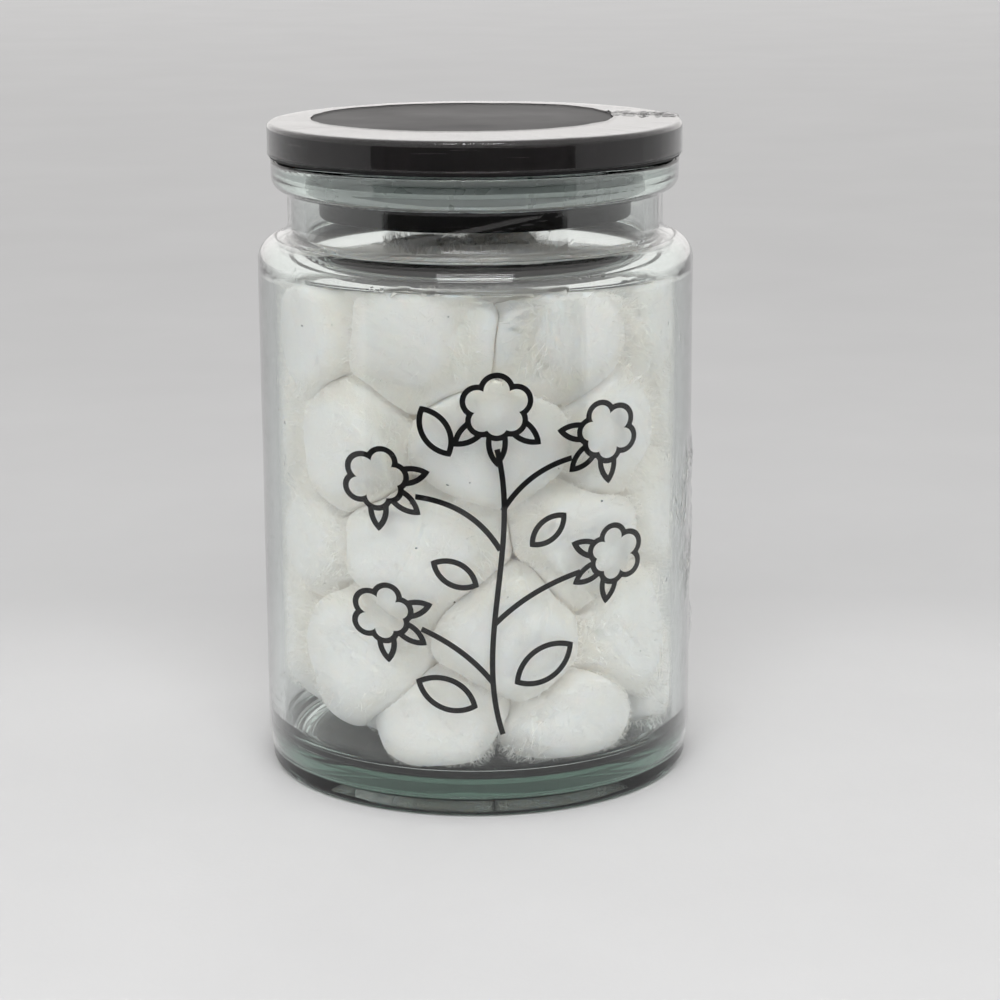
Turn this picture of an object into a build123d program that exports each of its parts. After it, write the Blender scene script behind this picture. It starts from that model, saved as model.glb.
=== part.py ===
from build123d import *
from build123d.topology import SkipClean
import math
import os
import random

# Clear glass apothecary jar full of cotton balls, with a push-in black wooden lid and a clear shrink film.
# Frame: the origin is the centre of the base on the table, +Z is up through the lid, and the printed front
# of the jar faces -Y. All lengths are in millimetres.

# Glass jar
BODY_R = 50.8          # a 4 inch jar
WALL = 3.4
BASE_T = 7.3           # glass under the contents, from the table to the inner floor
PUSH_UP = 2.2          # height of the hollow under the base
CONTACT_R = 45.5       # inner edge of the ring that the jar stands on
HEEL_R = 50.2
HEEL_H = 5.2
SHOULDER_Z = 126.0
NECK_R = 43.1
BORE_R = 39.8
BEAD_R = 47.3
BEAD_Z = 138.0
RIM_Z = 145.6
INNER_R = BODY_R - WALL
INNER_SHOULDER_Z = SHOULDER_Z - WALL

# Lid
LID_R = 48.2
LID_T = 7.8
LID_EDGE = 0.9
PLUG_R = 36.5
PLUG_Z = 132.0
GROOVE_R = 34.5
GROOVE_Z = 137.2
GROOVE_H = 6.8
SEAL_FIT = 0.06        # running clearance between the seal and the groove
SEAL_BORE_GAP = 0.12   # the fins just clear the glass
FIN_COUNT = 3
FIN_T = 0.7
LID_TOP_Z = RIM_Z + LID_T

# Shrink film
FILM_T = 0.25
FILM_GAP = 0.17        # room between the film and the glass, over the print
FILM_LOW_Z = 4.5
LID_FILM_GAP = 0.05
LID_FILM_LOW_Z = 146.4
OPENING_CENTRE = (-3.0, 5.5)
OPENING_RADII = (35.5, 37.5, 35.0, 36.0, 35.5, 34.5, 34.0, 35.0)   # anticlockwise from +X

# Print on the front
PRINT_T = 0.07
PRINT_GAP = 0.03
STROKE = 1.25
SPECK = 0.1            # cubic mm: smaller scraps between strokes are left off
PRINT_Z = 62.0         # mid-height of the print
PRINT_TURN = 5.0       # the print is centred this many degrees towards +X
# The drawing, a cotton sprig: (x, z) from the middle of the print, as the front shows it
STEMS = (
    ((1.0, -42), (-1.2, -22), (1.0, 0), (0.0, 24)),
    ((-1.0, -30), (-9, -22), (-17, -17.5)),
    ((-0.6, -16), (9, -9), (19, -5.5)),
    ((0.6, 1), (-8, 10), (-18, 13)),
    ((1.2, 10), (9, 18), (17, 21)),
)
BOLLS = (              # x, z, size, lean in degrees
    (0.0, 32.5, 7.4, 0),
    (-26.0, 16.0, 6.8, 52),
    (25.0, 25.5, 6.8, -48),
    (27.0, -3.0, 6.5, -62),
    (-25.0, -15.0, 6.5, 56),
)
LEAVES = (             # x, z, half length, lean in degrees
    (-11.5, -32.5, 7.5, 66),
    (10.5, -26.0, 8.0, -58),
    (-13.5, 28.0, 6.5, 30),
    (-9.5, -4.5, 6.0, 62),
    (11.5, 5.0, 5.5, -50),
)
LOBES = (              # angle in degrees, reach and radius as shares of the size
    (90, 0.62, 0.56),
    (28, 0.66, 0.52),
    (152, 0.66, 0.52),
    (-32, 0.52, 0.5),
    (212, 0.52, 0.5),
    (-90, 0.4, 0.5),
)

# Cotton balls
SEED = 7
LOOSE_R = 17.8         # radius of an unpressed ball
LOOSE_SPREAD = 2.2
PRESS = 0.83           # share of the loose distance that two pressed balls keep
BULGE = 1.2            # a pressed ball swells into the room round it, as a ball this much larger would
FLOOR_BULGE = 1.03     # the balls on the floor keep their round undersides
FLOOR_LAYER_Z = 34.0   # balls centred below this are on the floor
HEIGHT_SPREAD = 8.0    # how unevenly a layer of balls lies
BALL_GAP = 0.12        # clearance between pressed faces
SEAM_TILT = (31, 17, 0)   # turns a ball's seam away from the flats that cut it
LAYER_Z = (21.0, 44.0, 67.0, 90.0, 112.0)
RING_COUNT = (6, 7, 6, 7, 6)
NECK_LAYER_Z = 118.0
NECK_RING_COUNT = 4
COTTON_TOP_Z = 127.0   # leaves a little headroom under the plug


def revolved(outline):
    """Turns a closed outline, drawn as (radius, height), about the jar's axis."""
    return revolve(Plane.XZ * make_face(outline), Axis.Z)


def closed(points, radii):
    """A closed outline with a rounding at each corner, 0 where the corner is sharp."""
    return FilletPolyline(*points, radius=radii, close=True)


def glass_jar():
    section = (
        ((0, PUSH_UP), 0),
        ((CONTACT_R - 5, PUSH_UP), 4),
        ((CONTACT_R, 0), 1.5),
        ((HEEL_R, 0), 1.9),
        ((HEEL_R, HEEL_H), 3),
        ((BODY_R, HEEL_H + 3), 3),
        ((BODY_R, SHOULDER_Z), 5.6),
        ((NECK_R, SHOULDER_Z + 0.5), 1.7),
        ((NECK_R, BEAD_Z), 0.8),
        ((BEAD_R, BEAD_Z), 3.1),
        ((BEAD_R, RIM_Z), 1.9),
        ((BORE_R, RIM_Z), 1.3),
        ((BORE_R, INNER_SHOULDER_Z + 0.5), 2.8),
        ((INNER_R, INNER_SHOULDER_Z), 4.6),
        ((INNER_R, BASE_T), 6),
        ((0, BASE_T + 0.6), 0),
    )
    points = [p for p, _ in section]
    radii = [r for _, r in section]
    return revolved(closed(points, radii))


def lid_disc():
    points = ((0, RIM_Z), (LID_R, RIM_Z), (LID_R, LID_TOP_Z), (0, LID_TOP_Z))
    return revolved(closed(points, (0, LID_EDGE, LID_EDGE, 0)))


def lid_plug():
    groove_top = GROOVE_Z + GROOVE_H
    points = (
        (0, PLUG_Z),
        (PLUG_R, PLUG_Z),
        (PLUG_R, GROOVE_Z),
        (GROOVE_R, GROOVE_Z),
        (GROOVE_R, groove_top),
        (PLUG_R, groove_top),
        (PLUG_R, RIM_Z),
        (0, RIM_Z),
    )
    return revolved(closed(points, (0, 0.7, 0.4, 0, 0, 0, 0, 0)))


def lid_seal():
    """A silicone ring whose fins bend upwards towards the glass."""
    inner = GROOVE_R + SEAL_FIT
    root = PLUG_R + 0.6
    tip = BORE_R - SEAL_BORE_GAP
    low = GROOVE_Z + SEAL_FIT
    high = GROOVE_Z + GROOVE_H - SEAL_FIT
    pitch = (high - low) / FIN_COUNT
    points = [(inner, low), (root, low)]
    for i in range(FIN_COUNT):
        z = low + i * pitch + 0.5
        points += [(root, z), (tip, z + 0.5), (tip, z + 0.5 + FIN_T), (root, z + FIN_T + 0.1)]
    points += [(root, high), (inner, high)]
    return revolved(Polyline(*points, close=True))


def film_shell(path):
    """A film of even thickness on the outer side of a path of (radius, height)."""
    section = Wire(path.edges()).offset_2d(FILM_T, side=Side.RIGHT)
    return revolved(section)


def jar_film():
    stand_off = FILM_GAP
    body = BODY_R + stand_off
    neck = NECK_R + stand_off + 0.5
    bead = BEAD_R + stand_off
    path = FilletPolyline(
        (HEEL_R + stand_off + 0.15, FILM_LOW_Z),
        (body, HEEL_H + 3),
        (body, SHOULDER_Z + stand_off + 0.2),
        (neck, SHOULDER_Z + stand_off + 1.2),
        (neck, BEAD_Z - stand_off),
        (bead, BEAD_Z - stand_off),
        (bead, RIM_Z - 0.4),
        radius=(3, 5.6, 3.6, 1.2, 3.4),
    )
    return film_shell(path)


def lid_film():
    wall = LID_R + LID_FILM_GAP
    top = LID_TOP_Z + LID_FILM_GAP
    path = FilletPolyline((wall, LID_FILM_LOW_Z), (wall, top), (8, top), radius=(LID_EDGE + 0.1,))
    cap = film_shell(path)
    step = 360 / len(OPENING_RADII)
    edge = [
        (
            OPENING_CENTRE[0] + r * math.cos(math.radians(i * step)),
            OPENING_CENTRE[1] + r * math.sin(math.radians(i * step)),
        )
        for i, r in enumerate(OPENING_RADII)
    ]
    opening = make_face(Spline(*edge, periodic=True))
    return cap - extrude(Plane.XY.offset(LID_TOP_Z - 1) * opening, 4)


def print_layer():
    """The thin layer on the front of the glass that the print is cut from."""
    low = BODY_R + PRINT_GAP
    high = low + PRINT_T
    tube = Cylinder(high, 100) - Cylinder(low, 100)
    front = Pos(0, -high, 0) * Box(2 * high, 1.6 * high, 100)
    return Pos(0, 0, PRINT_Z) * (tube & front)


def leaf(half_length, slimness, inset):
    """A pointed leaf along Y, the overlap of two circles, drawn a little inside its edge."""
    bulge = half_length * slimness
    reach = math.sqrt(bulge**2 - half_length**2)
    side = Circle(bulge - inset)
    return Pos(reach, 0) * side & Pos(-reach, 0) * side


def lobes(size, inset):
    """The cotton of an open boll: round lobes about its middle, drawn a little inside their edge."""
    cloud = Sketch() + Circle(0.5 * size)
    for angle, reach, radius in LOBES:
        place = Pos(reach * size * math.cos(math.radians(angle)), reach * size * math.sin(math.radians(angle)))
        cloud += place * Circle(radius * size - inset)
    return cloud


def boll(size):
    """An open cotton boll in outline, with three pointed sepals behind it."""
    sepals = Sketch()
    for lean in (-52, 0, 52):
        place = Rot(0, 0, lean) * Pos(0, -0.95 * size)
        sepals += place * (leaf(0.75 * size, 1.35, 0) - leaf(0.75 * size, 1.35, STROKE))
    return lobes(size, 0) - lobes(size, STROKE) + (sepals - lobes(size, 0))


def stems():
    """The main stem and its side stems, each a curve of stroke width."""
    drawing = Sketch()
    for points in STEMS:
        drawing += trace(Spline(*points), STROKE)
    return drawing


def front_decal():
    drawing = stems()
    for x, z, size, lean in BOLLS:
        place = Pos(x, z) * Rot(0, 0, lean)
        drawing = drawing - place * lobes(size, 0) + place * boll(size)
    for x, z, half_length, lean in LEAVES:
        place = Pos(x, z) * Rot(0, 0, lean)
        drawing = drawing - place * leaf(half_length, 1.2, 0)
        drawing += place * (leaf(half_length, 1.2, 0) - leaf(half_length, 1.2, STROKE))
    facing = Plane(origin=(0, 0, PRINT_Z), x_dir=(1, 0, 0), z_dir=(0, -1, 0))
    strokes = print_layer() & extrude(facing * drawing, BODY_R + 5)
    whole = [stroke for stroke in strokes.solids() if stroke.volume > SPECK]
    return Rot(0, 0, PRINT_TURN) * Compound(whole)


def cavity():
    """The room inside the jar that cotton can fill, a little clear of the glass."""
    points = (
        (0, BASE_T + 1),
        (INNER_R - BALL_GAP, BASE_T + 1),
        (INNER_R - BALL_GAP, INNER_SHOULDER_Z - BALL_GAP),
        (BORE_R - BALL_GAP, INNER_SHOULDER_Z - BALL_GAP),
        (BORE_R - BALL_GAP, COTTON_TOP_Z),
        (0, COTTON_TOP_Z),
    )
    return revolved(closed(points, (0, 6, 5, 0, 0, 0)))


def settled_balls():
    """Centres and loose radii of the balls: staggered layers that push each other apart inside the glass."""
    dice = random.Random(SEED)
    balls = []

    def add(radius, angle, height):
        loose = LOOSE_R + dice.uniform(-LOOSE_SPREAD, LOOSE_SPREAD)
        balls.append([Vector(radius * math.cos(angle), radius * math.sin(angle), height), loose])

    for layer, (height, count) in enumerate(zip(LAYER_Z, RING_COUNT)):
        start = dice.uniform(0, math.tau)
        for i in range(count):
            add(31, start + i * math.tau / count, height + dice.uniform(-HEIGHT_SPREAD, HEIGHT_SPREAD))
        add(0, 0, height + dice.uniform(-HEIGHT_SPREAD, HEIGHT_SPREAD))
    for i in range(NECK_RING_COUNT):
        add(22, i * math.tau / NECK_RING_COUNT, NECK_LAYER_Z)
    for _ in range(150):
        spread_once(balls)
    return balls


def spread_once(balls):
    for i, (a, ra) in enumerate(balls):
        for j in range(i):
            b, rb = balls[j]
            apart = b - a
            short = PRESS * (ra + rb) - apart.length
            if short > 0:
                push = apart.normalized() * (0.25 * short)
                a = a - push
                balls[j][0] = b + push
        balls[i][0] = inside(a, ra)


def inside(centre, loose):
    """Moves a centre back until its ball is only lightly pressed against the glass."""
    keep = loose * PRESS * 0.95
    low = BASE_T + keep
    high = (COTTON_TOP_Z if math.hypot(centre.X, centre.Y) < 26 else INNER_SHOULDER_Z) - keep
    reach = INNER_R - keep
    flat = math.hypot(centre.X, centre.Y)
    pull = min(1.0, reach / flat) if flat > 0 else 1.0
    return Vector(centre.X * pull, centre.Y * pull, min(max(centre.Z, low), high))


def round_ball(radius):
    """A ball whose surface is two half spheres, so that each stays a bounded face when it is cut."""
    upper = RadiusArc((radius, 0), (0, radius), -radius)
    lower = RadiusArc((0, -radius), (radius, 0), -radius)
    return revolved([upper, Line((0, radius), (0, -radius)), lower])


def pressed_ball(index, balls, room):
    """A ball with a flat where it presses on each neighbour, cut to the room inside the jar."""
    centre, loose = balls[index]
    bulge = FLOOR_BULGE if centre.Z < FLOOR_LAYER_Z else BULGE
    shape = Pos(*centre) * Rot(*SEAM_TILT) * round_ball(loose * bulge)
    for other, (neighbour, reach) in enumerate(balls):
        apart = neighbour - centre
        if other == index or apart.length > BULGE * (loose + reach):
            continue
        along = (apart.length**2 + loose**2 - reach**2) / (2 * apart.length) - BALL_GAP / 2
        face = Plane(origin=centre + apart.normalized() * along, z_dir=apart)
        shape = split(shape, bisect_by=face, keep=Keep.BOTTOM)
    return shape & room


def cotton_balls():
    balls = settled_balls()
    room = cavity()
    order = sorted(range(len(balls)), key=lambda i: balls[i][0].Z)
    with SkipClean():
        return [pressed_ball(i, balls, room) for i in order]


def main():
    os.makedirs("parts", exist_ok=True)
    nodes = {
        "glass_jar": glass_jar(),
        "lid_disc": lid_disc(),
        "lid_plug": lid_plug(),
        "lid_seal": lid_seal(),
        "front_decal": front_decal(),
        "jar_film": jar_film(),
        "lid_film": lid_film(),
    }
    for number, ball in enumerate(cotton_balls(), 1):
        nodes[f"cotton_ball_{number:02d}"] = ball
    for name, shape in nodes.items():
        export_step(shape, f"parts/{name}.step")


main()
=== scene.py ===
import math

import bmesh
import bpy
import numpy as np
from mathutils import Matrix, Vector, noise
from mathutils.bvhtree import BVHTree
from mathutils.kdtree import KDTree


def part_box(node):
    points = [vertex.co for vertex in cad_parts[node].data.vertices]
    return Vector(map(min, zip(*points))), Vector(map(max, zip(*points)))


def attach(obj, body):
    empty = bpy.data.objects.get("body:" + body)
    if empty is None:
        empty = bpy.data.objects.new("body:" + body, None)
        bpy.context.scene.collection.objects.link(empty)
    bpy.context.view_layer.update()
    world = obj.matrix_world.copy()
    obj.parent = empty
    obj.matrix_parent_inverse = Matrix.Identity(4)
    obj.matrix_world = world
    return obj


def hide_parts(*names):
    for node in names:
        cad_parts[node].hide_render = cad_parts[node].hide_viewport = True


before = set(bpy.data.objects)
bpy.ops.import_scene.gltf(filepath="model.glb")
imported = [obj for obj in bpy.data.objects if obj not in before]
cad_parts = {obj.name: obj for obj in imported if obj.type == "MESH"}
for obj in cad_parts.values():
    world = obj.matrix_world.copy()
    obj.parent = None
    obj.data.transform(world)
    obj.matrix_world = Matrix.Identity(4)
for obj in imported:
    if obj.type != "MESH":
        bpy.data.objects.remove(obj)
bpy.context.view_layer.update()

MM = 0.001
SEED = 11

# The camera stands in front of the jar and looks slightly down on it
CAMERA_AT = (0.0001, -0.6398, 0.2153)
CAMERA_PITCH = 13.44
CAMERA_YAW = 0.48
CAMERA_ROLL = -0.31
CAMERA_LENS = 98.4

COTTON = sorted(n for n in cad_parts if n.startswith("cotton_ball_"))


# ---------------------------------------------------------------- node helpers

class Shader:
    """A material's node tree, with short calls to add and join nodes."""

    def __init__(self, name):
        self.material = bpy.data.materials.new(name)
        self.material.use_nodes = True
        self.tree = self.material.node_tree
        self.tree.nodes.clear()
        self.out = self.tree.nodes.new("ShaderNodeOutputMaterial")
        self.main = self.tree.nodes.new("ShaderNodeBsdfPrincipled")
        self.join(self.main.outputs["BSDF"], self.out.inputs["Surface"])
        self.place = self.tree.nodes.new("ShaderNodeTexCoord").outputs["Object"]

    def join(self, output, socket):
        self.tree.links.new(output, socket)

    def set(self, **values):
        """Sets the main shader's own sockets: base_color=... sets Base Color."""
        for key, value in values.items():
            name = key.replace("_", " ").title().replace("Ior", "IOR")
            if isinstance(value, bpy.types.NodeSocket):
                self.join(value, self.main.inputs[name])
            else:
                self.main.inputs[name].default_value = value

    def stretched(self, scale, turn=(0, 0, 0)):
        node = self.tree.nodes.new("ShaderNodeMapping")
        node.inputs["Scale"].default_value = scale
        node.inputs["Rotation"].default_value = turn
        self.join(self.place, node.inputs["Vector"])
        return node.outputs["Vector"]

    def noise(self, scale, detail=3.0, roughness=0.5, distortion=0.0, at=None):
        node = self.tree.nodes.new("ShaderNodeTexNoise")
        node.inputs["Scale"].default_value = scale
        node.inputs["Detail"].default_value = detail
        node.inputs["Roughness"].default_value = roughness
        node.inputs["Distortion"].default_value = distortion
        self.join(at or self.place, node.inputs["Vector"])
        return node.outputs["Fac"]

    def ramp(self, factor, stops):
        """stops is a list of (position, colour or grey)."""
        node = self.tree.nodes.new("ShaderNodeValToRGB")
        elements = node.color_ramp.elements
        while len(elements) < len(stops):
            elements.new(0.5)
        for element, (position, colour) in zip(elements, stops):
            grey = isinstance(colour, (int, float))
            element.position = position
            element.color = (colour, colour, colour, 1) if grey else (*colour, 1)
        self.join(factor, node.inputs["Fac"])
        return node.outputs["Color"]

    def math(self, operation, a, b):
        node = self.tree.nodes.new("ShaderNodeMath")
        node.operation = operation
        for socket, value in zip(node.inputs, (a, b)):
            if isinstance(value, bpy.types.NodeSocket):
                self.join(value, socket)
            else:
                socket.default_value = value
        return node.outputs["Value"]

    def painted(self, name):
        """A value stored on the mesh's points."""
        node = self.tree.nodes.new("ShaderNodeAttribute")
        node.attribute_name = name
        return node.outputs["Fac"]

    def along_y(self, scale):
        """Distance behind the jar, times a scale."""
        node = self.tree.nodes.new("ShaderNodeSeparateXYZ")
        self.join(self.stretched((scale, scale, scale)), node.inputs["Vector"])
        return node.outputs["Y"]

    def mixed(self, share, first, second, how="MIX"):
        node = self.tree.nodes.new("ShaderNodeMixRGB")
        node.blend_type = how
        for socket, value in zip(node.inputs, (share, first, second)):
            if isinstance(value, bpy.types.NodeSocket):
                self.join(value, socket)
            elif isinstance(value, tuple):
                socket.default_value = (*value, 1)
            else:
                socket.default_value = value
        return node.outputs["Color"]

    def bump(self, height, distance, strength=1.0, under=None):
        node = self.tree.nodes.new("ShaderNodeBump")
        node.inputs["Strength"].default_value = strength
        node.inputs["Distance"].default_value = distance
        self.join(height, node.inputs["Height"])
        if under:
            self.join(under, node.inputs["Normal"])
        return node.outputs["Normal"]


# ------------------------------------------------------------------- materials

def glass_material():
    """Pressed soda-lime glass: nearly clear across a wall, green along it."""
    s = Shader("jar glass")
    ripple = s.noise(14, detail=1)
    pits = s.noise(420, detail=1)
    specks = s.ramp(pits, [(0.0, 0.0), (0.72, 0.0), (0.8, 1.0)])
    normal = s.bump(ripple, 0.04 * MM)
    s.set(
        base_color=(1, 1, 1, 1), roughness=0.0, ior=1.52, transmission_weight=1.0,
        normal=s.bump(specks, 0.02 * MM, under=normal),
    )
    inside = s.tree.nodes.new("ShaderNodeVolumeAbsorption")
    inside.inputs["Color"].default_value = (0.62, 0.71, 0.675, 1)
    inside.inputs["Density"].default_value = 70.0
    s.join(inside.outputs["Volume"], s.out.inputs["Volume"])
    return s.material


def black_wood_material():
    """Black paint over close-grained wood."""
    s = Shader("black painted wood")
    grain = s.noise(60, detail=5, distortion=0.6, at=s.stretched((1, 9, 1)))
    speckle = s.noise(900, detail=2)
    tone = s.ramp(grain, [(0.3, (0.004, 0.0036, 0.0038)), (0.75, (0.010, 0.0085, 0.009))])
    gloss = s.ramp(s.noise(35, detail=4), [(0.3, 0.36), (0.7, 0.48)])
    fine = s.bump(speckle, 0.006 * MM)
    s.set(
        base_color=tone, roughness=gloss, specular_ior_level=0.15,
        normal=s.bump(grain, 0.02 * MM, under=fine),
    )
    return s.material


def silicone_material():
    s = Shader("clear silicone")
    haze = s.ramp(s.noise(160, detail=3), [(0.3, 0.22), (0.7, 0.38)])
    s.set(
        base_color=(0.66, 0.69, 0.69, 1), roughness=haze, ior=1.41,
        transmission_weight=0.4,
        normal=s.bump(s.noise(300, detail=2), 0.01 * MM),
    )
    return s.material


def print_material():
    s = Shader("black print")
    tone = s.ramp(s.noise(500, detail=3), [(0.35, (0.006, 0.006, 0.0065)), (0.7, (0.013, 0.012, 0.012))])
    gloss = s.ramp(s.noise(250, detail=3), [(0.3, 0.32), (0.7, 0.45)])
    s.set(
        base_color=tone, roughness=gloss, specular_ior_level=0.12,
        normal=s.bump(s.noise(1500, detail=2), 0.004 * MM),
    )
    return s.material


def film_material():
    """Clear shrink film: fine crinkles, scratches and specks of dust in a glossy sheet."""
    s = Shader("shrink film")
    crinkle = s.noise(70, detail=4, roughness=0.6, distortion=0.8)
    scratch = s.noise(30, detail=2, distortion=0.4, at=s.stretched((1, 1, 40), (0.5, 0.3, 0)))
    lines = s.ramp(scratch, [(0.0, 0.0), (0.70, 0.0), (0.74, 1.0)])
    dust = s.ramp(s.noise(620, detail=1), [(0.0, 1.0), (0.80, 1.0), (0.84, 0.25)])
    haze = s.ramp(s.noise(24, detail=4), [(0.35, 0.0), (0.75, 0.03)])
    normal = s.bump(crinkle, 0.015 * MM)
    s.set(
        base_color=dust, roughness=haze, ior=1.3, transmission_weight=1.0,
        normal=s.bump(lines, 0.01 * MM, under=normal),
    )
    return s.material


def cotton_material():
    """White lint: matte, lit from within, with faint cream patches, painted warm shade in its crevices and fine
    fibres.
    """
    s = Shader("cotton")
    patches = s.noise(38, detail=3, roughness=0.55)
    tone = s.ramp(patches, [(0.38, (0.965, 0.945, 0.905)), (0.60, (0.975, 0.968, 0.955))])
    # painted shade: the crevices between lumps are tinted warm beige, as if shaded
    tone = s.mixed(s.painted("crevice_depth_and_shade"), tone, (0.955, 0.92, 0.865))
    fibres = s.noise(520, detail=4, roughness=0.7, distortion=2.2)
    wisps = s.noise(140, detail=3, roughness=0.6, distortion=1.2)
    normal = s.bump(wisps, 0.30 * MM)
    s.set(
        base_color=tone, roughness=s.ramp(fibres, [(0.3, 0.85), (0.7, 1.0)]),
        specular_ior_level=0.05, sheen_weight=0.15, sheen_roughness=0.7,
        subsurface_weight=0.9, subsurface_radius=(1.0, 0.9, 0.8), subsurface_scale=7 * MM,
        normal=s.bump(fibres, 0.12 * MM, under=normal),
    )
    return s.material


def fibre_material():
    """The loose fibres that stand off a cotton ball."""
    s = Shader("cotton fibre")
    tone = s.ramp(s.noise(90, detail=2), [(0.35, (0.95, 0.93, 0.89)), (0.65, (0.98, 0.975, 0.965))])
    s.set(
        base_color=tone, roughness=s.ramp(s.noise(200), [(0.3, 0.7), (0.7, 0.95)]),
        specular_ior_level=0.1, sheen_weight=0.3, sheen_roughness=0.6,
    )
    return s.material


def floor_material():
    """A white paper set on a flat floor, with painted shade: the sheet under the jar is a little lighter than the
    painted shaded fold behind it, and far back it grows lighter again.
    """
    s = Shader("paper floor")
    mottled = s.noise(9, detail=5, roughness=0.6)
    tone = s.ramp(mottled, [(0.3, (0.500, 0.505, 0.512)), (0.7, (0.530, 0.535, 0.542))])
    # painted shade: darker in a band behind the jar, where the set's fold is shaded, and lighter again far back
    shade = s.ramp(s.along_y(0.25), [(0.0, 1.0), (0.013, 1.0), (0.035, 0.88), (0.20, 0.90), (0.85, 1.08)])
    s.set(
        base_color=s.mixed(1.0, tone, shade, "MULTIPLY"),
        roughness=s.ramp(mottled, [(0.3, 0.7), (0.7, 0.8)]), specular_ior_level=0.2,
        normal=s.bump(s.noise(700, detail=3), 0.02 * MM),
    )
    return s.material


def card_material():
    # a near-black card that stands in for shade: the unlit floor in front and the painted shadow under the jar
    s = Shader("unlit room and shadow card")
    tone = s.ramp(s.noise(6, detail=3), [(0.3, 0.0), (0.7, 0.004)])
    s.set(base_color=tone, roughness=1.0, specular_ior_level=0.0)
    return s.material


# -------------------------------------------------------------- mesh helpers

def add_mesh(name, vertices, faces, material, smooth=True):
    mesh = bpy.data.meshes.new(name)
    mesh.from_pydata(vertices, [], faces)
    mesh.polygons.foreach_set("use_smooth", [smooth] * len(mesh.polygons))
    mesh.materials.append(material)
    mesh.update()
    piece = bpy.data.objects.new(name, mesh)
    bpy.context.scene.collection.objects.link(piece)
    return piece


def rounded_path(points, radii, step):
    """Points along straight runs joined by arcs, about a step apart. radii has one entry per inner point."""
    path = [Vector(points[0])]
    for before, corner, after, radius in zip(points, points[1:], points[2:], radii):
        before, corner, after = Vector(before), Vector(corner), Vector(after)
        back, on = (before - corner).normalized(), (after - corner).normalized()
        half = back.angle(on) / 2
        inset = radius / math.tan(half)
        centre = corner + (back + on).normalized() * (radius / math.sin(half))
        start, end = corner + back * inset - centre, corner + on * inset - centre
        turn = start.angle_signed(end)
        count = max(2, round(abs(turn) * radius / step))
        add_run(path, centre + start, step)
        for i in range(1, count + 1):
            path.append(centre + Matrix.Rotation(-turn * i / count, 2) @ start)
    add_run(path, Vector(points[-1]), step)
    return path


def add_run(path, end, step):
    start = path[-1].copy()
    count = max(1, round((end - start).length / step))
    for i in range(1, count + 1):
        path.append(start.lerp(end, i / count))


def path_normals(path):
    """Unit vectors across the path, to its right."""
    normals = []
    for i in range(len(path)):
        along = (path[min(i + 1, len(path) - 1)] - path[max(i - 1, 0)]).normalized()
        normals.append(Vector((along.y, -along.x)))
    return normals


# ---------------------------------------------------------------------- stage

def add_camera():
    pitch, yaw, roll = (math.radians(a) for a in (CAMERA_PITCH, CAMERA_YAW, CAMERA_ROLL))
    ahead = Vector((math.sin(yaw) * math.cos(pitch), math.cos(yaw) * math.cos(pitch), -math.sin(pitch)))
    level = Vector((math.cos(yaw), -math.sin(yaw), 0))
    above = level.cross(ahead)
    right = level * math.cos(roll) + above * math.sin(roll)
    up = above * math.cos(roll) - level * math.sin(roll)
    camera = bpy.data.objects.new("camera", bpy.data.cameras.new("camera"))
    camera.data.lens = CAMERA_LENS
    camera.data.sensor_width = 36
    camera.matrix_world = Matrix.Translation(CAMERA_AT) @ Matrix((right, up, -ahead)).transposed().to_4x4()
    bpy.context.scene.collection.objects.link(camera)
    bpy.context.scene.camera = camera


def add_world():
    """An even white tent. The camera sees its outside as pale grey."""
    world = bpy.data.worlds.new("tent")
    world.use_nodes = True
    bpy.context.scene.world = world
    nodes, links = world.node_tree.nodes, world.node_tree.links
    nodes.clear()
    out = nodes.new("ShaderNodeOutputWorld")
    mix = nodes.new("ShaderNodeMixShader")
    seen = nodes.new("ShaderNodeLightPath").outputs["Is Camera Ray"]
    links.new(seen, mix.inputs["Fac"])
    for socket, colour, strength in ((1, (1.02, 1.0, 0.985), 1.02), (2, (0.60, 0.61, 0.62), 1.0)):
        light = nodes.new("ShaderNodeBackground")
        light.inputs["Color"].default_value = (*colour, 1)
        light.inputs["Strength"].default_value = strength
        links.new(light.outputs["Background"], mix.inputs[socket])
    links.new(mix.outputs["Shader"], out.inputs["Surface"])


FLOOR_Z = -0.15 * MM


def add_floor():
    radius, rings, spokes = 6.0, 24, 64
    vertices = [(0, 0, FLOOR_Z)]
    for ring in range(1, rings + 1):
        reach = radius * (ring / rings) ** 3
        for i in range(spokes):
            angle = math.tau * i / spokes
            vertices.append((reach * math.cos(angle), reach * math.sin(angle), FLOOR_Z))
    faces = [(0, 1 + i, 1 + (i + 1) % spokes) for i in range(spokes)]
    for ring in range(rings - 1):
        a, b = 1 + ring * spokes, 1 + (ring + 1) * spokes
        for i in range(spokes):
            j = (i + 1) % spokes
            faces.append((a + i, b + i, b + j, a + j))
    floor = add_mesh("floor", vertices, faces, floor_material())


def add_card(name, columns):
    """A dark card in the scene's set that stands in for shade, a strip between two edges, that only glass and gloss
    show.
    """
    vertices = [corner for pair in columns for corner in pair]
    faces = [(2 * i, 2 * i + 1, 2 * i + 3, 2 * i + 2) for i in range(len(columns) - 1)]
    card = add_mesh(name, vertices, faces, card_material())
    card.visible_camera = False
    card.visible_diffuse = False
    card.visible_shadow = False


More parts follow.
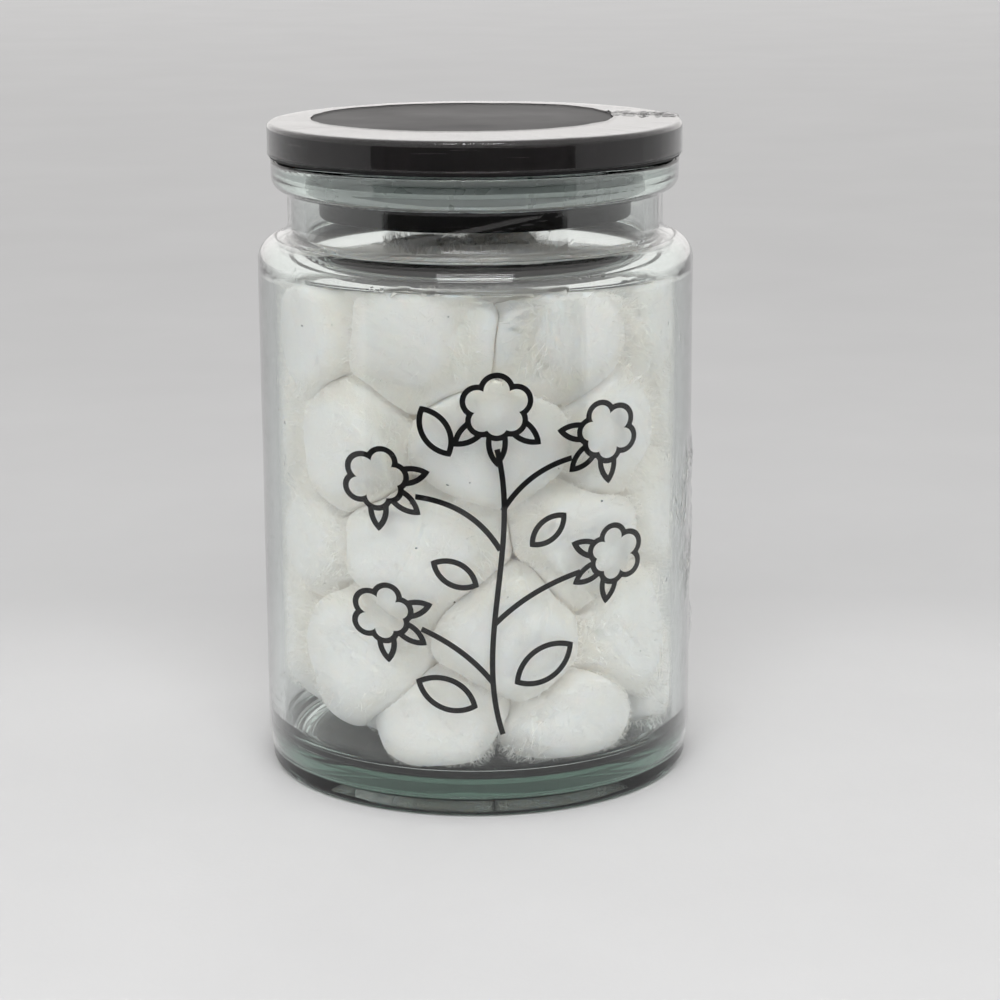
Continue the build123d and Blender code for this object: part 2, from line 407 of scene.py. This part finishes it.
def add_cards():
    """The unlit floor past the table's front edge, and the shade under the jar."""
    spread, count = math.radians(57), 40
    columns = []
    for i in range(count + 1):
        angle = -math.pi / 2 - spread + 2 * spread * i / count
        near = 0.36 + 0.01 * noise.noise(Vector((angle * 30, 0, 0)))
        x, y = math.cos(angle), math.sin(angle)
        columns.append(((near * x, near * y, 0.0005), (4 * x, 4 * y, 0.0005)))
    add_card("dark_card", columns)
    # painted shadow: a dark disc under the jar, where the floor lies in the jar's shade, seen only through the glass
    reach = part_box("glass_jar")[1].x - 1.5 * MM
    columns = []
    for i in range(count + 1):
        angle = math.tau * i / count
        x, y = math.cos(angle), math.sin(angle)
        columns.append(((0.001 * x, 0.001 * y, 0.5 * FLOOR_Z), (reach * x, reach * y, 0.5 * FLOOR_Z)))
    add_card("shadow_under_jar_card", columns)


def add_lamp(name, place, width, height, power):
    data = bpy.data.lights.new(name, "AREA")
    data.shape = "RECTANGLE"
    data.size, data.size_y, data.energy = width, height, power
    lamp = bpy.data.objects.new(name, data)
    lamp.location = place
    aim = Vector((0, 0, 0.1)) - Vector(place)
    lamp.rotation_mode = "QUATERNION"
    lamp.rotation_quaternion = aim.to_track_quat("-Z", "Y")
    bpy.context.scene.collection.objects.link(lamp)


# ---------------------------------------------------------------- CAD pieces

def dress(node, material):
    """Gives a CAD node its material."""
    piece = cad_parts[node]
    piece.data.materials.clear()
    piece.data.materials.append(material)
    return piece


# ----------------------------------------------------------------------- film

FILM_T = 0.06 * MM
SEAM_ANGLES = (-36, 4)        # degrees: where the sleeve's crinkled seam runs down the right side
SEAM_HEIGHTS = (27, 75)       # mm
NECK_CREASE_Z = 128.5         # mm
NECK_CREASE_ANGLES = (-120, -65)
LID_SEAM_ANGLE = 12           # degrees: where the seam crosses the lid's top
LID_FILM_OPENING = ((-3.0, 5.5), (35.5, 37.5, 35.0, 36.0, 35.5, 34.5, 34.0, 35.0))


def spoke_angles():
    """Angles round the jar, closer together over the seam."""
    low, high = SEAM_ANGLES
    fine = np.arange(low, high, 0.4)
    coarse = np.linspace(high, low + 360, 216, endpoint=False)
    return [math.radians(a) for a in (*fine, *coarse)]


def sheet_mesh(name, grid, material):
    """A thin closed sheet from a grid of (point, outward normal), which closes round the jar."""
    spokes, rows = len(grid), len(grid[0])
    vertices = []
    for side in (0.0, FILM_T):
        for spoke in grid:
            vertices += [tuple(point + normal * side) for point, normal in spoke]
    faces = []
    shell = spokes * rows
    for i in range(spokes):
        a, b = i * rows, ((i + 1) % spokes) * rows
        for j in range(rows - 1):
            faces.append((a + j, a + j + 1, b + j + 1, b + j))
            faces.append((shell + a + j, shell + b + j, shell + b + j + 1, shell + a + j + 1))
        last = rows - 1
        faces.append((a, b, shell + b, shell + a))
        faces.append((a + last, shell + a + last, shell + b + last, b + last))
    return add_mesh(name, vertices, faces, material)


def swung(point, angle):
    """A (radius, height) pair as a point in space."""
    return Vector((point.x * math.cos(angle), point.x * math.sin(angle), point.y))


def window(value, low, high, fade):
    """1 between low and high, fading to 0 over a length outside them."""
    inside = min(value - low, high - value) / fade + 1
    return max(0.0, min(1.0, inside))


def jar_film_lift(at, angle, height):
    """How far the film stands off the glass: soft waves, the seam's crinkles and two creases by the neck."""
    lift = 0.16 * (0.5 + 0.5 * noise.noise(at * 45))
    degrees = (math.degrees(angle) + 180) % 360 - 180
    seam = window(degrees, *SEAM_ANGLES, 5) * window(height, *SEAM_HEIGHTS, 6)
    if seam:
        patch = max(0.0, noise.noise(at * 75 + Vector((3, 1, 8))) + 0.12)
        folds = abs(noise.noise(Vector((at.x * 420, at.y * 420, at.z * 260))))
        lift += seam * patch * (0.4 + 2.4 * folds)
    across = NECK_CREASE_Z + 9.0 * window(degrees, -60, 180, 60)
    lift += 0.3 * max(0.0, 1 - abs(height - across) / 0.7) * window(degrees, *NECK_CREASE_ANGLES, 8)
    return lift * MM


def jar_film(material):
    low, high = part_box("jar_film")
    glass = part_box("glass_jar")[1]
    rim = glass.z
    body = glass.x + 0.2 * MM
    heel = body - 0.5 * MM
    neck = body - 7.2 * MM
    bead = body - 3.5 * MM
    shoulder = rim - 19.2 * MM
    bead_low = rim - 7.7 * MM
    path = rounded_path(
        [
            (heel, low.z), (body, low.z + 4 * MM), (body, shoulder), (neck, shoulder + MM),
            (neck, bead_low), (bead, bead_low), (bead, high.z),
        ],
        [3 * MM, 5.6 * MM, 3.6 * MM, 1.2 * MM, 3.3 * MM],
        0.7 * MM,
    )
    normals = path_normals(path)
    grid = []
    for angle in spoke_angles():
        spoke = []
        for point, across in zip(path, normals):
            out = swung(across, angle)
            at = swung(point, angle)
            spoke.append((at + out * jar_film_lift(at, angle, point.y / MM), out))
        grid.append(spoke)
    sheet = sheet_mesh("jar_film_sheet", grid, material)
    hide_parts("jar_film")
    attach(sheet, "jar")


def opening_edge(angle):
    """The film's edge round its opening on the lid, seen from the opening's middle."""
    (x, y), radii = LID_FILM_OPENING
    place = (angle % math.tau) / math.tau * len(radii)
    k = int(place) % len(radii)
    share = place - int(place)
    share = share * share * (3 - 2 * share)
    reach = radii[k] * (1 - share) + radii[(k + 1) % len(radii)] * share
    reach += 0.5 * noise.noise(Vector((math.cos(angle) * 7, math.sin(angle) * 7, 2)))
    return Vector((x + reach * math.cos(angle), y + reach * math.sin(angle))) * MM


def lid_film_lift(at, angle, share):
    """Waves over the lid's top, a curled lip at the opening and crinkles where the seam crosses."""
    lift = 0.14 * (0.5 + 0.5 * noise.noise(at * 70))
    pleats = noise.noise(Vector((math.cos(angle) * 24, math.sin(angle) * 24, at.x * 40)))
    lift += 0.08 * max(0.0, pleats) * share
    lift += 0.16 * max(0.0, 1 - share / 0.06)
    seam = window(math.degrees(angle), LID_SEAM_ANGLE - 4, LID_SEAM_ANGLE + 4, 3)
    return (lift + seam * 0.9 * abs(noise.noise(at * 520))) * MM


def lid_film(material):
    low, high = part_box("lid_film")
    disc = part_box("lid_disc")[1]
    edge, top, turn = disc.x + 0.05 * MM, disc.z + 0.05 * MM, 1.0 * MM
    flat_rows, turn_rows, side_rows = 36, 5, 9
    grid = []
    for angle in np.radians(np.arange(-180, 180, 0.9)):
        inner = opening_edge(angle)
        outer = Vector((math.cos(angle), math.sin(angle))) * (edge - turn)
        facing = Vector((math.cos(angle), math.sin(angle), 0))
        spoke = []
        for k in range(flat_rows):
            share = k / flat_rows
            at = inner.lerp(outer, share).to_3d() + Vector((0, 0, top))
            up = Vector((0, 0, 1))
            spoke.append((at + up * lid_film_lift(at, angle, share), up))
        for k in range(turn_rows + 1):
            lean = math.pi / 2 * k / turn_rows
            out = facing * math.sin(lean) + Vector((0, 0, math.cos(lean)))
            at = outer.to_3d() + Vector((0, 0, top - turn)) + out * turn
            spoke.append((at + out * lid_film_lift(at, angle, 1.0), out))
        for k in range(1, side_rows + 1):
            height = top - turn + (low.z - top + turn) * k / side_rows
            at = facing * edge + Vector((0, 0, height))
            spoke.append((at + facing * lid_film_lift(at, angle, 1.0), facing))
        grid.append(spoke[::-1])
    sheet = sheet_mesh("lid_film_sheet", grid, material)
    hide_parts("lid_film")
    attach(sheet, "lid")


# --------------------------------------------------------------------- cotton

def unit_ball(divisions):
    """Directions of an icosphere's points, its faces, its edges and a map of its directions."""
    ball = bmesh.new()
    bmesh.ops.create_icosphere(ball, subdivisions=divisions, radius=1.0)
    points = np.array([v.co for v in ball.verts])
    faces = [[v.index for v in f.verts] for f in ball.faces]
    edges = np.array([[v.index for v in e.verts] for e in ball.edges])
    ball.free()
    return points, faces, edges, direction_map(points)


def smoothed(values, edges, passes):
    """Values on the icosphere's points, averaged with their neighbours' a number of times."""
    count = np.bincount(edges.ravel(), minlength=len(values))
    for _ in range(passes):
        total = np.bincount(edges[:, 0], values[edges[:, 1]], len(values))
        total += np.bincount(edges[:, 1], values[edges[:, 0]], len(values))
        values = 0.5 * values + 0.5 * total / count
    return values


def room_of(node, directions):
    """How far the CAD ball reaches from its middle in each direction."""
    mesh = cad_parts[node].data
    corners = [v.co for v in mesh.vertices]
    tree = BVHTree.FromPolygons(corners, [p.vertices for p in mesh.polygons])
    low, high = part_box(node)
    middle = (low + high) / 2
    reach = np.array([tree.ray_cast(middle, Vector(d))[3] or 0.0 for d in directions])
    return middle, reach


WIND = 150.0
CREASE = 0.22
ROUNDING = 20                 # smoothing passes: how soft the edges of a ball's flats are
LUMP = 1.30                   # an open side reaches this many times as far as its nearest point, and then falls back
FIBRES = 3000
OPEN_DEPTH = 7 * MM           # cotton this far in from the glass is pressed flat, and keeps its CAD outline
RECESS = 0.6                  # mm: the most that a ball stands back from the glass
NECK_FROM = 0.1205
WANDER = 4.0 * MM
FOLD = 0.8 * MM
WANDER_CORE = 12 * MM         # within this of the jar's axis the cotton hardly wanders
FIBRE_STEPS = 3
FIBRE_CLEAR = 0.45 * MM       # fibres stay this far inside the ball's CAD outline
MAP_ROWS = 60


def direction_map(directions):
    """For each cell of a map of latitude and longitude, the nearest of the directions."""
    tree = KDTree(len(directions))
    for i, direction in enumerate(directions):
        tree.insert(direction, i)
    tree.balance()
    cells = np.empty((MAP_ROWS, 2 * MAP_ROWS), int)
    for row in range(MAP_ROWS):
        tilt = math.pi * (row + 0.5) / MAP_ROWS
        for column in range(2 * MAP_ROWS):
            turn = math.pi * ((column + 0.5) / MAP_ROWS - 1)
            at = (math.sin(tilt) * math.cos(turn), math.sin(tilt) * math.sin(turn), math.cos(tilt))
            cells[row, column] = tree.find(at)[1]
    return cells


def nearest(cells, headings):
    tilt = np.arccos(np.clip(headings[:, 2], -1, 1)) / math.pi
    turn = np.arctan2(headings[:, 1], headings[:, 0]) / math.pi + 1
    row = np.minimum((tilt * MAP_ROWS).astype(int), MAP_ROWS - 1)
    column = np.minimum((turn * MAP_ROWS).astype(int), 2 * MAP_ROWS - 1)
    return cells[row, column]


def wound(at, axis, twist):
    """A point's place in a sliver wound about an axis: slow round it, quick along it."""
    along = at.dot(axis)
    out = at - axis * along
    out = Matrix.Rotation(along * twist, 3, axis) @ out
    return out * 26 + axis * (along * WIND)


def lint_depth(at, axis, twist, shift):
    """How far the lint at a point lies under the ball's outline, in metres."""
    coil = wound(at, axis, twist) + shift
    crease = max(0.0, 1 - abs(noise.noise(coil)) / CREASE) ** 2
    swell = 0.5 + 0.5 * noise.noise(at * 95 + shift)
    wisps = 0.5 + 0.5 * noise.noise(coil * 3.1)
    lint = 0.5 + 0.5 * noise.noise(at * 450)
    return (0.90 * swell + 0.35 * crease + 0.35 * wisps + 0.30 * lint) * MM


def unit(vectors):
    return vectors / np.linalg.norm(vectors, axis=1)[:, None]


def loose_fibres(points, ball, reach, crevice_depth_and_shade, rng):
    """Fine ribbons that leave the ball's surface and curl back, as vertices and faces. Most are by its creases."""
    directions, _, _, cells = ball
    chance = 0.25 + crevice_depth_and_shade
    roots = rng.choice(len(points), FIBRES, p=chance / chance.sum())
    out = directions[roots]
    heading = rng.normal(size=(FIBRES, 3))
    heading = unit(heading - out * (heading * out).sum(1)[:, None])
    climb = rng.uniform(0.3, 1.7, (FIBRES, 1))
    step = rng.uniform(0.6, 2.0, (FIBRES, 1)) * MM
    width = rng.uniform(0.03, 0.08, (FIBRES, 1)) * MM
    place = points[roots] - out * 0.1 * MM
    rows = []
    for k in range(FIBRE_STEPS + 1):
        length = np.linalg.norm(place, axis=1)[:, None]
        ahead = place / length
        limit = reach[nearest(cells, ahead)][:, None] - FIBRE_CLEAR
        place = ahead * np.minimum(length, limit)
        side = np.cross(heading, out) * width * (1 - 0.25 * k)
        rows += [place - side, place + side]
        heading = unit(heading + rng.normal(size=(FIBRES, 3)) * 0.4)
        place = place + (heading + out * climb) * step
        climb = climb - 0.6
    vertices = np.stack(rows, axis=1).reshape(-1, 3)
    first = np.arange(FIBRES)[:, None] * len(rows) + 2 * np.arange(FIBRE_STEPS)
    faces = first.reshape(-1, 1) + np.array([0, 1, 3, 2])
    return vertices, faces


def cotton_room():
    """The room that the cotton fills: radius in the body, radius in the neck, lowest and highest point."""
    boxes = [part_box(node) for node in COTTON]
    high = max(box[1].z for box in boxes)
    reach = max(box[1].x for box in boxes)
    neck = max(box[1].x for box in boxes if box[0].z > NECK_FROM - 22 * MM and box[1].z > high - MM)
    return reach, min(neck, reach - 7.6 * MM), min(box[0].z for box in boxes), high


def openness(place, room):
    """1 where a ball faces the glass, the floor or the headroom, falling to 0 where it presses on its neighbours."""
    reach, neck, low, high = room
    radius = np.hypot(place[:, 0], place[:, 1])
    wall = np.where(place[:, 2] > NECK_FROM, neck, reach)
    corner = np.hypot(np.maximum(neck - radius, 0), place[:, 2] - NECK_FROM)
    under = np.where(place[:, 2] < NECK_FROM, corner, OPEN_DEPTH)
    inward = np.minimum(wall - radius, np.minimum(place[:, 2] - low, high - place[:, 2]))
    inward = np.minimum(inward, under)
    return np.clip(1 - inward / OPEN_DEPTH, 0, 1)


def settled(place, room):
    """Points of the cotton moved as one soft mass, so that the borders between balls wander but still match."""
    held = 1 - openness(place, room)
    moved = np.array([WANDER * noise.noise_vector(Vector(p) * 48) for p in place])
    moved += np.array([FOLD * noise.noise_vector(Vector(p) * 130 + Vector((7, 3, 5))) for p in place])
    radius = np.hypot(place[:, 0], place[:, 1])
    turn = np.arctan2(place[:, 1], place[:, 0]) + moved[:, 1] / np.maximum(radius, WANDER_CORE)
    radius = radius + moved[:, 0] * held * np.minimum(1, radius / WANDER_CORE)
    reach, neck, low, high = room
    height = np.clip(place[:, 2] + moved[:, 2] * held, low, high)
    radius = np.minimum(radius, np.where(height > NECK_FROM, neck, reach))
    return np.stack((radius * np.cos(turn), radius * np.sin(turn), height), axis=1)


def lump_drop(reach, free):
    """How far a ball's open side falls back round its nearest point, so that it is a lump and not a tile."""
    if free.max() < 0.5:
        return 0 * reach
    near = reach[free > 0.5].min()
    return MM * np.logaddexp(0, (reach - near * LUMP) / MM)


def cotton_ball(node, ball, room, cotton, fibre):
    directions, faces, edges, _ = ball
    rng = np.random.default_rng(SEED + int(node[-2:]))
    middle, reach = room_of(node, directions)
    soft = np.minimum(smoothed(reach, edges, ROUNDING), reach)
    soft = smoothed(soft, edges, 3)
    wide = smoothed(soft, edges, 60)
    # How deep a point lies in a crease: fibres gather there, and it is painted on as warm crease shade.
    crevice_depth_and_shade = np.clip((soft - wide) / (0.9 * MM), 0, 1)
    axis = Vector(rng.normal(size=3)).normalized()
    twist = rng.uniform(-40, 40)
    shift = Vector(rng.uniform(5, 60, size=3))
    depth = [lint_depth(Vector(d) * r, axis, twist, shift) for d, r in zip(directions, soft)]
    free = openness(directions * soft[:, None] + np.array(middle), room)
    soft = soft - smoothed(free * lump_drop(soft, free), edges, 6)
    depth = np.array(depth) + rng.uniform(0, RECESS) * MM
    points = directions * (soft - free * depth)[:, None]
    strands, ribbons = loose_fibres(points, ball, reach, crevice_depth_and_shade, rng)
    place = settled(np.concatenate((points, strands)) + np.array(middle), room)
    ribbons = (ribbons + len(points)).tolist()
    piece = add_mesh(f"cotton_{node[-2:]}", place.tolist(), faces + ribbons, cotton)
    piece.data.materials.append(fibre)
    which = [0] * len(faces) + [1] * len(ribbons)
    piece.data.polygons.foreach_set("material_index", which)
    # the crease depth stored on the points, for the material's painted crease shade
    shade = piece.data.attributes.new("crevice_depth_and_shade", "FLOAT", "POINT")
    shade.data.foreach_set("value", np.append(crevice_depth_and_shade, np.zeros(len(strands))))
    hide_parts(node)
    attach(piece, "jar")


# ----------------------------------------------------------------------- main

def main():
    add_camera()
    add_world()
    add_floor()
    add_cards()
    for k, (forward, height) in enumerate(((-0.52, 0.96), (-0.64, 0.86), (-0.74, 0.72))):
        add_lamp(f"front_light_{k}", (0.0, forward, height), 0.58, 0.05, 1.8)
    dress("glass_jar", glass_material())
    wood = black_wood_material()
    for node in ("lid_disc", "lid_plug"):
        dress(node, wood)
    dress("lid_seal", silicone_material())
    dress("front_decal", print_material())
    film = film_material()
    jar_film(film)
    lid_film(film)
    ball = unit_ball(6)
    cotton, fibre = cotton_material(), fibre_material()
    room = cotton_room()
    for node in COTTON:
        cotton_ball(node, ball, room, cotton, fibre)
    scene = bpy.context.scene
    scene.view_settings.view_transform = "Standard"
    scene.cycles.max_bounces = 40
    scene.cycles.transmission_bounces = 24
    scene.cycles.diffuse_bounces = 24
    scene.cycles.blur_glossy = 0.0
    scene.world.cycles.sampling_method = "NONE"


main()
